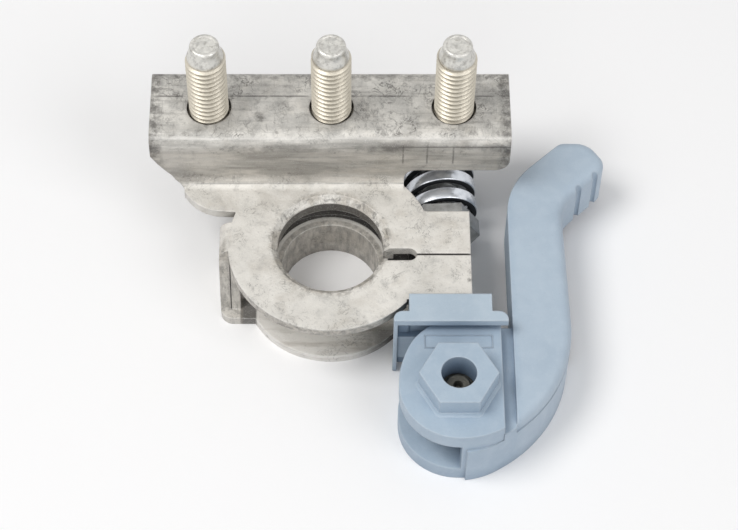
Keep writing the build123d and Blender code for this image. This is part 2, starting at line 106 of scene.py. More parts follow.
class Shade:
    """A material built up from noise in object space, in millimetres."""

    def __init__(self, name, color, rough, metal=0.0, spec=0.5):
        self.mat = bpy.data.materials.new(name)
        self.mat.use_nodes = True
        self.tree = self.mat.node_tree
        self.shader = self.tree.nodes["Principled BSDF"]
        self.shader.inputs["Metallic"].default_value = metal
        self.shader.inputs["Roughness"].default_value = rough
        self.shader.inputs["Specular IOR Level"].default_value = spec
        scaled = self.node("ShaderNodeVectorMath", operation="SCALE")
        self.feed(scaled.inputs[0], self.node("ShaderNodeTexCoord").outputs["Object"])
        scaled.inputs["Scale"].default_value = 1 / MM
        self.mm = scaled.outputs["Vector"]
        self.color = (*color, 1)
        self.height = None

    def node(self, kind, **settings):
        node = self.tree.nodes.new(kind)
        for name, value in settings.items():
            setattr(node, name, value)
        return node

    def feed(self, socket, value):
        """Links a socket to an output, or sets it to a plain value."""
        if isinstance(value, bpy.types.NodeSocket):
            self.tree.links.new(value, socket)
        else:
            socket.default_value = value

    def math(self, kind, a, b):
        node = self.node("ShaderNodeMath", operation=kind)
        self.feed(node.inputs[0], a)
        self.feed(node.inputs[1], b)
        return node.outputs[0]

    def vector(self, kind, a, b, out="Vector"):
        node = self.node("ShaderNodeVectorMath", operation=kind)
        self.feed(node.inputs[0], a)
        self.feed(node.inputs[1], b)
        return node.outputs[out]

    def split(self, vector):
        """The three components of a vector."""
        node = self.node("ShaderNodeSeparateXYZ")
        self.feed(node.inputs[0], vector)
        return node.outputs

    def axes(self):
        """The three coordinates in millimetres."""
        return self.split(self.mm)

    def normal(self):
        """The surface's own normal."""
        return self.node("ShaderNodeNewGeometry").outputs["Normal"]

    def rounded(self, radius, samples):
        """The normal as if sharp edges had this radius."""
        node = self.node("ShaderNodeBevel", samples=samples)
        node.inputs["Radius"].default_value = radius * MM
        return node.outputs["Normal"]

    def stretched(self, factors):
        """The millimetre coordinates with each axis multiplied."""
        return self.vector("MULTIPLY", self.mm, factors)

    def from_post(self):
        """The distance from the post's axis."""
        return self.vector("DISTANCE", self.stretched((1.0, 1.0, 0.0)), (0.0, 0.0, 0.0), "Value")

    def levels(self, value, low, high, to_low=0.0, to_high=1.0):
        node = self.node("ShaderNodeMapRange")
        node.inputs["From Min"].default_value = low
        node.inputs["From Max"].default_value = high
        node.inputs["To Min"].default_value = to_low
        node.inputs["To Max"].default_value = to_high
        self.feed(node.inputs["Value"], value)
        return node.outputs["Result"]

    def noise(self, scale, detail=3.0, rough=0.55, low=0.3, high=0.7, vector=None, warp=0.0):
        """Noise spread to 0..1 between two levels."""
        node = self.node("ShaderNodeTexNoise")
        node.inputs["Scale"].default_value = scale
        node.inputs["Detail"].default_value = detail
        node.inputs["Roughness"].default_value = rough
        node.inputs["Distortion"].default_value = warp
        self.feed(node.inputs["Vector"], vector or self.mm)
        return self.levels(node.outputs["Fac"], low, high)

    def veins(self, scale, width, detail=4.0, warp=1.2):
        """Thin crinkled lines, 1 on the line."""
        middle = self.noise(scale, detail, 0.6, 0.0, 1.0, warp=warp)
        return self.band(middle, 0.5, width * 0.3, width)

    def both(self, *masks):
        """Product of several masks."""
        product = masks[0]
        for mask in masks[1:]:
            product = self.math("MULTIPLY", product, mask)
        return product

    def facing(self, index, low, high):
        """1 where the surface faces along an axis, from one level of the normal to another."""
        return self.levels(self.split(self.normal())[index], low, high)

    def band(self, value, centre, half, soft):
        """1 within half of the centre, fading over soft."""
        gap = self.math("SUBTRACT", value, centre)
        size = self.math("MAXIMUM", gap, self.math("MULTIPLY", gap, -1.0))
        return self.levels(size, half + soft, half)

    def spot(self, place, radius, soft, ragged=0.0):
        """1 round a point, with a ragged rim."""
        gap = self.vector("DISTANCE", self.mm, place, "Value")
        if ragged:
            gap = self.math("ADD", gap, self.math("MULTIPLY", self.noise(1.6, 4, 0.7), ragged))
        return self.levels(gap, radius + soft, radius)

    def sharp_edges(self, radius):
        """1 where the surface turns over a sharp edge."""
        kept = self.vector("DOT_PRODUCT", self.normal(), self.rounded(radius, 4), "Value")
        return self.levels(kept, 0.99, 0.85)

    def hollows(self, reach, low, high):
        """1 deep in corners and 0 in open places."""
        node = self.node("ShaderNodeAmbientOcclusion", samples=6)
        node.inputs["Distance"].default_value = reach * MM
        return self.levels(node.outputs["AO"], low, high)

    def paint(self, mask, color, amount=1.0):
        """Covers the colour so far with another where the mask is 1."""
        node = self.node("ShaderNodeMix", data_type="RGBA")
        self.feed(node.inputs[MIX_FACTOR], self.levels(mask, 0.0, 1.0, 0.0, amount))
        self.feed(node.inputs[MIX_A], self.color)
        self.feed(node.inputs[MIX_B], (*color, 1))
        self.color = node.outputs[MIX_OUT]

    def bump(self, scale, detail, rough, depth):
        """Adds relief of this depth in millimetres from noise."""
        value = self.math("MULTIPLY", self.noise(scale, detail, rough, 0.2, 0.8), depth * MM)
        self.height = value if self.height is None else self.math("ADD", self.height, value)

    def gloss(self, mask, low, high):
        """Roughness from one level to another over a mask."""
        self.feed(self.shader.inputs["Roughness"], self.levels(mask, 0.0, 1.0, low, high))

    def done(self, edge):
        """Links the colour, the relief and the rounded edges to the shader."""
        self.feed(self.shader.inputs["Base Color"], self.color)
        relief = self.node("ShaderNodeBump")
        relief.inputs["Distance"].default_value = 1.0
        relief.inputs["Strength"].default_value = 1.0
        self.feed(relief.inputs["Height"], self.height)
        self.feed(relief.inputs["Normal"], self.rounded(edge, 6))
        self.feed(self.shader.inputs["Normal"], relief.outputs["Normal"])
        return self.mat


# Colours of the plated sheet, linear
TIN = (0.765, 0.74, 0.69)
TIN_SHADE = (0.54, 0.525, 0.485)
TIN_WARM = (0.43, 0.39, 0.33)
TIN_GREY = (0.33, 0.325, 0.31)
TIN_DARK = (0.18, 0.172, 0.158)
TIN_SOOT_AND_SHADE = (0.055, 0.05, 0.045)
TIN_BRIGHT = (0.86, 0.84, 0.80)
# Pits and dark specks of the sheet, with their radius
PITS = [
    ((27.7, 16.6, 29.6), 0.8), ((22.6, 15.0, 28.0), 0.5), ((6.0, 9.9, 16.5), 0.5),
    ((10.4, 6.0, 16.5), 0.55), ((-28.0, 12.9, 16.6), 0.5), ((-13.7, 20.5, 30.0), 1.3),
    ((27.1, -6.5, 16.2), 0.9), ((27.0, -8.6, 16.2), 0.9), ((27.1, -4.6, 16.2), 0.6),
    ((12.0, 21.8, 30.0), 0.7), ((16.8, 22.6, 30.0), 0.7), ((33.6, 28.2, 30.0), 1.0),
]


def web_dirt(s, web, along):
    """Brown-grey, streaked along the bend, smudged in broad patches, with a line at its foot."""
    z = s.axes()[Z]
    s.paint(s.both(web, s.levels(z, 27.6, 25.6)), TIN_WARM, 0.50)
    s.paint(s.both(web, s.noise(0.75, 5, 0.65, 0.48, 0.66, along)), TIN_DARK, 0.42)
    broad = s.noise(0.075, 4, 0.6, 0.46, 0.60, s.stretched((0.7, 1.0, 2.2)))
    s.paint(s.both(web, broad), TIN_DARK, 0.5)
    s.paint(s.both(web, s.noise(1.3, 4, 0.65, 0.52, 0.66, along)), TIN_SHADE, 0.55)
    under_bend = s.both(web, s.band(z, 27.0, 0.5, 1.4), s.noise(0.16, 5, 0.7, 0.47, 0.62))
    s.paint(under_bend, TIN_SOOT_AND_SHADE, 0.58)
    foot = s.both(s.band(s.split(s.normal())[Y], -0.60, 0.02, 0.06), s.band(z, 17.6, 0.6, 0.4))
    s.paint(s.both(foot, s.noise(0.22, 4, 0.6, 0.35, 0.52)), TIN_DARK, 0.6)


def bar_scuffs(s, bar_top, along):
    """Grey blotches, crinkled scratches and scuffs on the bar's top, and dark ends."""
    x, y, z = s.axes()
    s.paint(bar_top, TIN_GREY, 0.12)
    s.paint(s.both(bar_top, s.noise(0.17, 5, 0.62, 0.42, 0.62)), TIN_GREY, 0.55)
    s.paint(s.both(bar_top, s.noise(0.50, 6, 0.74, 0.53, 0.66, warp=0.6)), TIN_DARK, 0.6)
    s.paint(s.both(bar_top, s.noise(0.85, 5, 0.65, 0.53, 0.68, along)), TIN_DARK, 0.5)
    patches = s.noise(0.14, 3, 0.5, 0.48, 0.60)
    s.paint(s.both(bar_top, s.veins(0.42, 0.024), patches), TIN_SOOT_AND_SHADE, 0.75)
    across = s.noise(1.5, 4, 0.65, 0.58, 0.72, s.stretched((1.0, 0.16, 1.0)))
    s.paint(s.both(bar_top, across), TIN_DARK, 0.5)
    rear = s.both(bar_top, s.band(y, 31.2, 1.0, 1.2), s.noise(0.5, 4, 0.7, 0.42, 0.6))
    s.paint(rear, TIN_DARK, 0.6)
    above_plate = s.levels(z, 17.2, 17.6)
    for end in (-35.0, 34.8):
        dirt = s.both(above_plate, s.band(x, end, 0.9, 1.5), s.noise(0.6, 4, 0.7, 0.38, 0.58))
        s.paint(dirt, TIN_SOOT_AND_SHADE, 0.7)
    # The bright worn band along the front bend
    bend = s.both(s.levels(z, 29.0, 29.35), s.band(y, 15.35, 0.35, 0.6))
    s.paint(s.both(bend, s.noise(0.5, 4, 0.7, 0.35, 0.6, along)), TIN_BRIGHT, 0.8)


def tooling_marks(s, web, bar_top):
    """The score along the bar, and the marks at the right of the web."""
    x, y, z = s.axes()
    score = s.both(bar_top, s.band(y, 25.7, 0.06, 0.22), s.noise(0.30, 2, 0.5, 0.40, 0.55))
    s.paint(score, TIN_SOOT_AND_SHADE, 0.7)
    for place in (14.2, 18.9, 24.0):
        line = s.both(web, s.band(x, place, 0.05, 0.22), s.band(z, 25.0, 2.4, 0.8))
        s.paint(s.both(line, s.noise(0.7, 4, 0.7, 0.3, 0.5)), TIN_SOOT_AND_SHADE, 0.6)
    ledge = s.both(web, s.band(z, 27.6, 0.05, 0.25), s.levels(x, 12.5, 14.5))
    s.paint(ledge, TIN_SOOT_AND_SHADE, 0.6)


def plate_dirt_and_light(s):
    """Painted light that brightens the lower plate, and crinkled dirt at the upper plate's bore, rim
    and cut edge.
    """
    y, z = s.axes()[Y], s.axes()[Z]
    from_post = s.from_post()
    # Painted light: the lower plate is brightened
    lower = s.levels(z, 3.2, 2.6)
    s.paint(lower, TIN_BRIGHT, 0.75)
    drawn = s.noise(0.5, 3, 0.6, 0.50, 0.66, s.stretched((0.15, 0.9, 6.0)))
    s.paint(s.both(lower, s.levels(y, -6.0, -9.0), drawn), TIN_WARM, 0.5)
    plate = s.band(z, 15.0, 1.7, 0.2)
    crinkle = s.noise(0.9, 6, 0.78, 0.47, 0.58, warp=0.9)
    rim = s.both(plate, s.band(from_post, 11.3, 0.5, 1.5), crinkle)
    s.paint(s.both(rim, s.noise(0.12, 2, 0.5, 0.44, 0.58)), TIN_DARK, 0.65)
    rim = s.both(plate, s.band(from_post, 19.9, 0.4, 1.0), crinkle)
    s.paint(s.both(rim, s.noise(0.14, 2, 0.5, 0.48, 0.62)), TIN_DARK, 0.5)
    crinkle = s.noise(0.6, 6, 0.8, 0.60, 0.68, warp=1.2)
    s.paint(s.both(plate, crinkle, s.noise(0.11, 2, 0.5, 0.50, 0.60)), TIN_DARK, 0.4)
    rim = s.both(plate, s.band(from_post, 10.8, 0.6, 1.3))
    s.paint(s.both(rim, s.noise(0.30, 5, 0.7, 0.44, 0.58)), TIN_WARM, 0.65)
    rim = s.both(plate, s.band(from_post, 10.9, 0.5, 0.8))
    s.paint(s.both(rim, s.noise(0.55, 5, 0.75, 0.50, 0.60, warp=0.8)), TIN_DARK, 0.75)
    cut = s.both(s.levels(from_post, 19.7, 19.9), s.band(z, 15.1, 0.9, 0.3), s.levels(y, 2.0, -1.0))
    s.paint(cut, TIN_WARM, 0.5)
    s.paint(s.both(cut, s.noise(0.8, 5, 0.7, 0.44, 0.60)), TIN_DARK, 0.6)


def bore_stains_and_shade(s):
    """Stained walls of the bores, and painted shade on the upper collar's wall behind the post and in
    the gap between the collars there.
    """
    y, z = s.axes()[Y], s.axes()[Z]
    from_post = s.from_post()
    wall = s.both(s.levels(from_post, 10.8, 10.5), s.levels(z, 15.3, 15.0))
    s.paint(wall, TIN_WARM, 0.55)
    drawn = s.noise(0.8, 4, 0.7, 0.40, 0.62, s.stretched((1.0, 1.0, 0.3)))
    s.paint(s.both(wall, drawn), TIN_DARK, 0.6)
    # Painted shade on the upper collar's wall behind the post
    s.paint(s.both(wall, s.levels(z, 12.4, 12.8), s.levels(y, -1.0, 4.0)), TIN_SOOT_AND_SHADE, 0.8)
    # Painted shade, near black, in the gap between the collars behind the post
    gap = s.both(s.band(from_post, 15.4, 3.9, 0.2), s.band(z, 7.9, 6.3, 0.3))
    s.paint(s.both(gap, s.levels(y, -1.0, 1.5)), TIN_SOOT_AND_SHADE, 0.97)


def shade_between_plates_and_fold_grime(s):
    """Painted shade beside the fold and beside the block, and grime on the fold's wall."""
    x, y, z = s.axes()
    low = s.levels(z, 14.3, 14.0)
    # Painted shade in the opening beside the fold
    s.paint(s.both(low, s.band(x, -16.3, 1.4, 0.4), s.band(y, -6.2, 2.6, 0.6)), TIN_SOOT_AND_SHADE, 0.85)
    # Painted shade on the lower plate beside the block
    by_block = s.both(low, s.levels(x, 4.0, 10.0), s.levels(y, -9.0, -11.0))
    s.paint(s.both(by_block, s.noise(0.25, 4, 0.6, 0.30, 0.5)), TIN_SOOT_AND_SHADE, 0.7)
    fold = s.both(s.levels(x, -17.2, -17.6), s.levels(z, 14.6, 14.0))
    s.paint(fold, TIN_WARM, 0.35)
    drawn = s.noise(0.9, 4, 0.65, 0.46, 0.62, s.stretched((1.0, 1.0, 0.22)))
    s.paint(s.both(fold, drawn), TIN_DARK, 0.5)


def clamp_metal():
    """Dull tin plating over stamped sheet: mottled, stained, scuffed, with pits and tooling marks, and
    painted shade and light in places.
    """
    s = Shade("clamp_metal", TIN, 0.46, metal=0.2)
    x, y, z = s.axes()
    bar_top = s.both(s.levels(z, 27.5, 28.5), s.facing(Z, 0.55, 0.9))
    web = s.both(s.levels(z, 16.9, 17.2), s.facing(Y, -0.55, -0.68))
    along = s.stretched((0.09, 1.0, 1.0))
    # Broad cloudy stains everywhere
    s.paint(s.noise(0.10, 4, 0.6, 0.42, 0.62), TIN_SHADE, 0.5)
    s.paint(s.noise(0.16, 5, 0.62, 0.50, 0.68, warp=0.5), TIN_WARM, 0.38)
    s.paint(s.noise(0.40, 5, 0.66, 0.54, 0.70, warp=0.4), TIN_GREY, 0.36)
    web_dirt(s, web, along)
    bar_scuffs(s, bar_top, along)
    tooling_marks(s, web, bar_top)
    plate_dirt_and_light(s)
    bore_stains_and_shade(s)
    shade_between_plates_and_fold_grime(s)
    # Fine speckle, scratches and pits everywhere
    s.paint(s.noise(2.1, 3, 0.6, 0.62, 0.74), TIN_DARK, 0.38)
    s.paint(s.noise(4.6, 2, 0.5, 0.58, 0.74), TIN_BRIGHT, 0.45)
    scratches = s.both(s.veins(0.30, 0.012, 5, 1.6), s.noise(0.2, 3, 0.5, 0.50, 0.62))
    s.paint(scratches, TIN_SOOT_AND_SHADE, 0.45)
    s.paint(s.noise(1.0, 5, 0.75, 0.67, 0.73, warp=0.8), TIN_SOOT_AND_SHADE, 0.5)
    for place, radius in PITS:
        s.paint(s.spot(place, radius * 0.35, radius, 0.9), TIN_SOOT_AND_SHADE, 0.75)
    # Raw edges are bright, and corners at the back and the right get painted shade
    s.paint(s.both(s.sharp_edges(0.3), s.noise(1.2, 4, 0.7, 0.35, 0.6)), TIN_BRIGHT, 0.8)
    s.paint(s.both(s.hollows(6.0, 0.60, 0.15), s.levels(y, -10.0, -3.0)), TIN_SOOT_AND_SHADE, 0.85)
    s.paint(s.both(s.hollows(6.0, 0.60, 0.15), s.levels(x, 5.0, 12.0)), TIN_SOOT_AND_SHADE, 0.9)
    s.bump(1.1, 5, 0.7, 0.04)
    s.bump(4.5, 3, 0.6, 0.016)
    s.bump(0.25, 3, 0.5, 0.14)
    s.gloss(s.noise(0.7, 4, 0.6), 0.32, 0.6)
    return s.done(0.4)


def steel(name, color, dark, rough, metal, grain=0.02):
    """Zinc-plated steel with a fine grain, dull patches and painted shade in its hollows."""
    s = Shade(name, color, rough, metal=metal)
    s.paint(s.noise(0.5, 4, 0.6, 0.4, 0.7), dark, 0.5)
    s.paint(s.noise(3.0, 3, 0.6, 0.6, 0.75), dark, 0.55)
    # Painted shade in the hollows
    s.paint(s.hollows(3.0, 0.6, 0.1), dark, 0.8)
    s.bump(3.0, 4, 0.6, grain)
    s.gloss(s.noise(1.2, 3, 0.5), rough - 0.07, rough + 0.1)
    return s.done(0.12)


def spring_steel():
    """Bright flat wire, with near-black painted shade between the turns and in its hollows."""
    shade_black = (0.012, 0.013, 0.016)
    s = Shade("spring_steel", (0.74, 0.77, 0.82), 0.26, metal=0.7)
    s.paint(s.noise(0.35, 4, 0.6, 0.52, 0.72), (0.32, 0.35, 0.40), 0.6)
    s.paint(s.noise(2.5, 3, 0.6, 0.62, 0.75), (0.16, 0.17, 0.19), 0.5)
    # Painted shade: the sides of the turns that face the front, and the hollows, are near black
    between = s.facing(Y, -0.62, -0.88)
    s.paint(between, shade_black, 0.97)
    s.paint(s.hollows(2.5, 0.55, 0.2), shade_black, 0.95)
    s.bump(2.0, 4, 0.6, 0.008)
    s.gloss(between, 0.24, 0.7)
    return s.done(0.1)


def stud_steel():
    """Ivory plating on the threads, greyer and scuffed toward the tip, with painted shade in the
    thread's roots.
    """
    s = Shade("stud_steel", (0.65, 0.605, 0.51), 0.34, metal=0.5)
    z = s.axes()[Z]
    nose = s.levels(z, 45.2, 46.2)
    s.paint(nose, (0.74, 0.73, 0.69), 0.9)
    s.paint(s.both(nose, s.noise(0.8, 4, 0.7, 0.45, 0.65)), TIN_GREY, 0.6)
    tip = s.both(s.levels(z, 48.7, 49.1), s.noise(0.9, 5, 0.7, 0.4, 0.65))
    s.paint(tip, (0.34, 0.335, 0.32), 0.5)
    s.paint(s.noise(1.6, 4, 0.7, 0.56, 0.70), (0.34, 0.31, 0.25), 0.55)
    # Painted shade in the thread's roots
    s.paint(s.hollows(1.0, 0.80, 0.40), (0.17, 0.14, 0.10), 0.85)
    s.bump(3.5, 4, 0.6, 0.02)
    return s.done(0.06)


def plastic(name, color, dark, pale):
    """Moulded plastic, matt, with a fine grain and faint flow marks, painted light on the handle,
    painted highlights on its edges and painted shade in its hollows.
    """
    s = Shade(name, color, 0.42, spec=0.4)
    x, y, z = s.axes()
    # Painted light: the handle, right of the groove, is painted paler than the cheeks
    s.paint(s.levels(x, 35.0, 36.5), pale, 0.28)
    s.paint(s.noise(0.07, 3, 0.5, 0.35, 0.68), dark, 0.20)
    s.paint(s.noise(0.35, 4, 0.6, 0.45, 0.70), pale, 0.20)
    s.paint(s.noise(1.5, 4, 0.6, 0.56, 0.75), pale, 0.18)
    s.paint(s.noise(3.8, 2, 0.5, 0.66, 0.76), dark, 0.30)
    # Painted highlights on the edges
    s.paint(s.sharp_edges(0.55), pale, 0.6)
    # Painted shade in the hollows
    s.paint(s.hollows(7.0, 0.70, 0.15), dark, 0.95)
    # The shaded pocket of the block's left wing, and a dark speck low on the lever
    pocket = s.both(s.band(x, 14.1, 1.25, 0.2), s.band(y, -17.9, 1.15, 0.1))
    s.paint(s.both(pocket, s.band(z, 14.1, 2.6, 0.3)), dark, 0.75)
    s.paint(s.spot((41.6, -38.8, 1.2), 0.15, 0.25), (0.05, 0.05, 0.05), 0.8)
    s.bump(2.2, 3, 0.6, 0.022)
    s.bump(7.0, 2, 0.5, 0.007)
    s.gloss(s.noise(0.8, 3, 0.5), 0.36, 0.5)
    return s.done(0.42)


LEVER = plastic("lever_plastic", (0.42, 0.52, 0.62), (0.17, 0.24, 0.34), (0.60, 0.68, 0.755))
BLOCK = plastic("block_plastic", (0.47, 0.565, 0.65), (0.18, 0.25, 0.34), (0.62, 0.69, 0.755))
BODY = clamp_metal()
STUD = stud_steel()
SPRING = spring_steel()
BOLT = steel("bolt_steel", (0.50, 0.51, 0.51), (0.16, 0.155, 0.15), 0.34, 0.75)
PIN = steel("pin_steel", (0.13, 0.125, 0.105), (0.02, 0.02, 0.017), 0.45, 0.55, grain=0.1)


def dress(obj, material):
    obj.data.materials.clear()
    obj.data.materials.append(material)


def smooth(obj, angle):
    obj.data.polygons.foreach_set("use_smooth", [True] * len(obj.data.polygons))
    obj.data.set_sharp_from_angle(angle=math.radians(angle))


# New pieces

def piece(name, part, material, body, hides=(), angle=35):
    """A mesh in millimetres in the row frame, riding on a CAD body."""
    verts, faces = part
    mesh = bpy.data.meshes.new(name)
    mesh.from_pydata([tuple(c * MM for c in v) for v in verts], [], faces)
    mesh.validate()
    obj = bpy.data.objects.new(name, mesh)
    bpy.context.scene.collection.objects.link(obj)
    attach(obj, body)
    dress(obj, material)
    smooth(obj, angle)
    if hides:
        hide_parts(*hides)


def circle(radius, height, steps, centre=(0.0, 0.0)):
    """Points round an upright axis."""
    points = []
    for k in range(steps):
        a = 2 * math.pi * k / steps
        x, y = radius * math.cos(a), radius * math.sin(a)
        points.append((centre[0] + x, centre[1] + y, height))
    return points


def hoop(low, high, count):
    """Quads between two closed rows of points, given where each row starts."""
    ends = [(k, (k + 1) % count) for k in range(count)]
    return [(low + k, low + n, high + n, high + k) for k, n in ends]


def lathe(profile, steps=72):
    """Closed solid of revolution about Z from (radius, height) pairs, first and last on the axis."""
    verts = [(0, 0, profile[0][1])]
    for r, z in profile[1:-1]:
        verts += circle(r, z, steps)
    verts.append((0, 0, profile[-1][1]))
    top = len(verts) - 1
    last = top - steps
    faces = []
    for k in range(steps):
        n = (k + 1) % steps
        faces.append((0, 1 + n, 1 + k))
        for row in range(1, last, steps):
            faces.append((row + k, row + n, row + steps + n, row + steps + k))
        faces.append((last + k, last + n, top))
    return verts, faces


def threaded(radius, low, high, steps=64):
    """Outer skin of a right-handed thread about Z, with flat crests and roots and open ends."""
    # Share of the pitch, and height between root and crest there
    knots = [(0.0, 1.0), (0.14, 1.0), (0.44, 0.0), (0.70, 0.0)]

    def reach(phase):
        phase %= 1.0
        ring = knots + [(1.0, 1.0)]
        for (a, ra), (b, rb) in zip(ring, ring[1:]):
            if phase <= b:
                t = (phase - a) / (b - a)
                return radius - THREAD_DEPTH * (1 - (ra + (rb - ra) * t))
        return radius

    first = math.floor(low / THREAD_PITCH) - 1
    last = math.ceil(high / THREAD_PITCH) + 1
    rows = [turn + knot for turn in range(first, last + 1) for knot, _ in knots]
    verts, faces = [], []
    for row in rows:
        for k in range(steps + 1):
            turn = k / steps
            z = (row + turn) * THREAD_PITCH
            flat = min(max(z, low), high)
            r = reach(flat / THREAD_PITCH - turn)
            a = 2 * math.pi * turn
            verts.append((r * math.cos(a), r * math.sin(a), flat))
    width = steps + 1
    for i in range(len(rows) - 1):
        for k in range(steps):
            at = i * width + k
            quad = (at, at + 1, at + width + 1, at + width)
            heights = [verts[q][2] for q in quad]
            if max(heights) - min(heights) > 1e-6:
                faces.append(quad)
    return verts, faces


def cleaned(verts, faces, tol=1e-5):
    """Merges points that coincide, drops points that nothing uses and fills the open rims."""
    mesh = bpy.data.meshes.new("tmp")
    mesh.from_pydata(verts, [], faces)
    bm = bmesh.new()
    bm.from_mesh(mesh)
    bmesh.ops.remove_doubles(bm, verts=bm.verts, dist=tol)
    bmesh.ops.dissolve_degenerate(bm, edges=bm.edges, dist=tol)
    loose = [v for v in bm.verts if not v.link_faces]
    bmesh.ops.delete(bm, geom=loose, context="VERTS")
    rims = [e for e in bm.edges if e.is_boundary]
    if rims:
        bmesh.ops.holes_fill(bm, edges=rims)
    bmesh.ops.recalc_face_normals(bm, faces=bm.faces)
    bm.verts.index_update()
    out = [tuple(v.co) for v in bm.verts], [tuple(v.index for v in f.verts) for f in bm.faces]
    bm.free()
    bpy.data.meshes.remove(mesh)
    return out


def moved(part, matrix):
    verts, faces = part
    return [tuple(matrix @ Vector(v)) for v in verts], faces


def joined(*parts):
    verts, faces = [], []
    for v, f in parts:
        base = len(verts)
        verts += v
        faces += [tuple(base + i for i in face) for face in f]
    return verts, faces


def stud_model():
    """Press-in stud with a real thread, a tapered shoulder and a stepped, worn tip."""
    thread = cleaned(*threaded(3.9, 28.05, THREAD_TOP))
    profile = [(0, 44.9), (3.2, 44.9), (3.45, THREAD_TOP), (3.52, 45.7), (3.42, 46.3)]
    profile += [(3.2, 46.9), (3.0, 47.4), (2.9, 47.8), (2.87, 48.4)]
    # A quarter round at the tip, then its shallow dished end
    turns, tip_round = 7, 0.55
    for k in range(1, turns + 1):
        a = math.pi / 2 * k / turns
        profile.append((2.32 + tip_round * math.cos(a), 48.6 + tip_round * math.sin(a)))
    profile += [(2.17, 49.12), (2.02, 48.98), (1.1, 49.03), (0, 49.05)]
    head = [(0, 25.0), (4.7, 25.0), (5.0, 25.3), (5.0, 27.7), (4.7, 28.0), (4.0, 28.0)]
    head += [(4.0, 28.3), (0, 28.3)]
    return joined(thread, lathe(profile), lathe(head))


def bolt_model():
    """Eye, plain shank and threaded end of the tension bolt."""
    shank = lathe([(0, 4.6), (3.49, 4.6), (3.49, 33.0), (3.3, 33.4), (0, 33.4)], 48)
    thread = cleaned(*threaded(3.99, 33.0, 61.2, 48))
    tip = lathe([(0, 61.1), (3.4, 61.1), (3.2, 61.6), (2.9, 62.0), (0, 62.0)], 48)
    rings = [(6.2, 4.1), (5.9, 3.8), (2.75, 3.8), (2.56, 4.0)]
    rings += [(2.56, 11.3), (2.75, 11.5), (5.9, 11.5), (6.2, 11.2)]
    steps = 72
    verts, faces = [], []
    for r, z in rings:
        verts += circle(r, z, steps, (PIN_X, PIN_Y))
    for i in range(len(rings)):
        a, b = i * steps, (i + 1) % len(rings) * steps
        for k in range(steps):
            n = (k + 1) % steps
            faces.append((a + k, b + k, b + n, a + n))
    return joined(moved(joined(shank, thread, tip), TO_BOLT), (verts, faces))


def spring_model():
    """Coil of broad flat wire with rounded edges and ground ends."""
    start, length, pitch, phase = 42.54, 11.0, 4.55, 0.83
    wide, thick, outer, steps = 2.7, 1.5, 7.38, 60
    # A corner of the wire's section: distances in from its side and from its edge
    corner = ((0.0, 0.28), (0.09, 0.09), (0.28, 0.0))
    section = []
    for side, edge in ((1, 1), (-1, 1), (-1, -1), (1, -1)):
        for inward, short in corner[::side * edge]:
            r = outer - thick / 2 + side * (thick / 2 - inward)
            section.append((r, edge * (wide / 2 - short)))
    verts, faces, count = [], [], len(section)
    first = math.floor((-wide / 2 - phase) / pitch * steps) + 1
    last = math.ceil((length + wide / 2 - phase) / pitch * steps) - 1
    for row in range(first, last + 1):
        a = 2 * math.pi * row / steps
        middle = phase + pitch * row / steps
        for r, z in section:
            height = start + min(max(middle + z, 0.0), length)
            verts.append((r * math.cos(a), r * math.sin(a), height))
    for i in range(last - first):
        faces += hoop(i * count, (i + 1) * count, count)
    faces.append(tuple(range(count)))
    faces.append(tuple((last - first) * count + k for k in reversed(range(count))))
    return moved(cleaned(verts, faces, 1e-4), TO_BOLT)


def slab(plan, low, high, bevel):
    """A plate with a given outline whose upper and lower edges are bevelled."""
    count = len(plan)
    middle = Vector((sum(p[0] for p in plan) / count, sum(p[1] for p in plan) / count))
    verts = []
    for z, inset in ((low, bevel), (low + bevel, 0), (high - bevel, 0), (high, bevel)):
        for p in plan:
            to_middle = (middle - Vector(p)).normalized() * inset
            verts.append((p[0] + to_middle.x, p[1] + to_middle.y, z))
    faces = [tuple(reversed(range(count))), tuple(range(3 * count, 4 * count))]
    for row in range(3):
        faces += hoop(row * count, (row + 1) * count, count)
    return verts, faces


def wing_wall():
    """Thin walls that close the back of the pressure block's left wing."""
    plan = [(13.0, -17.4), (15.1, -17.4), (15.1, -16.95), (13.6, -16.95), (13.0, -17.1)]
    return joined(slab(plan, 0.5, 3.85, 0.05), slab(plan, 11.45, 16.85, 0.05))


def plate_rear():
    """Rear strip of the lower plate, seen only behind the collars, where painted shade makes it dark.
    """
    half, near, far, corner = 13.5, 15.45, 17.6, 1.2
    plan = [(-half, near), (half, near), (half, far)]
    for a in (0.5, 1.0, math.pi / 2):
        plan.append((half - corner * (1 - math.cos(a)), far + corner * math.sin(a)))
    plan += [(-x, y) for x, y in reversed(plan[3:])] + [(-half, far)]
    return slab(plan, 0.02, 1.98, 0.2)


def frame_on_cheek():
    """The bare shallow frame moulded on the upper cheek."""
    x0, x1, y0, y1 = 17.9, 31.0, -23.3, -20.35
    rise, wide, slope = 0.16, 0.26, 0.05
    verts, faces = [], []
    for inset, height in ((0, 0), (slope, rise), (wide - slope, rise), (wide, 0)):
        west, east, south, north = x0 + inset, x1 - inset, y0 + inset, y1 - inset
        for x, y in ((west, south), (east, south), (east, north), (west, north)):
            verts.append((x, y, CHEEK_TOP - SUNK + height))
    for i in range(4):
        faces += hoop(i * 4, (i + 1) % 4 * 4, 4)
    return verts, faces


def blunt_hexagon(apothem, height):
    """Twelve points round the pin: a hexagon whose corners are cut a little."""
    corner, cut = apothem / math.cos(math.pi / 6), 0.045
    points = []
    for k in range(6):
        for lean in (-cut, cut):
            a = math.pi / 3 * k + lean
            points.append((PIN_X + corner * math.cos(a), PIN_Y + corner * math.sin(a), height))
    return points


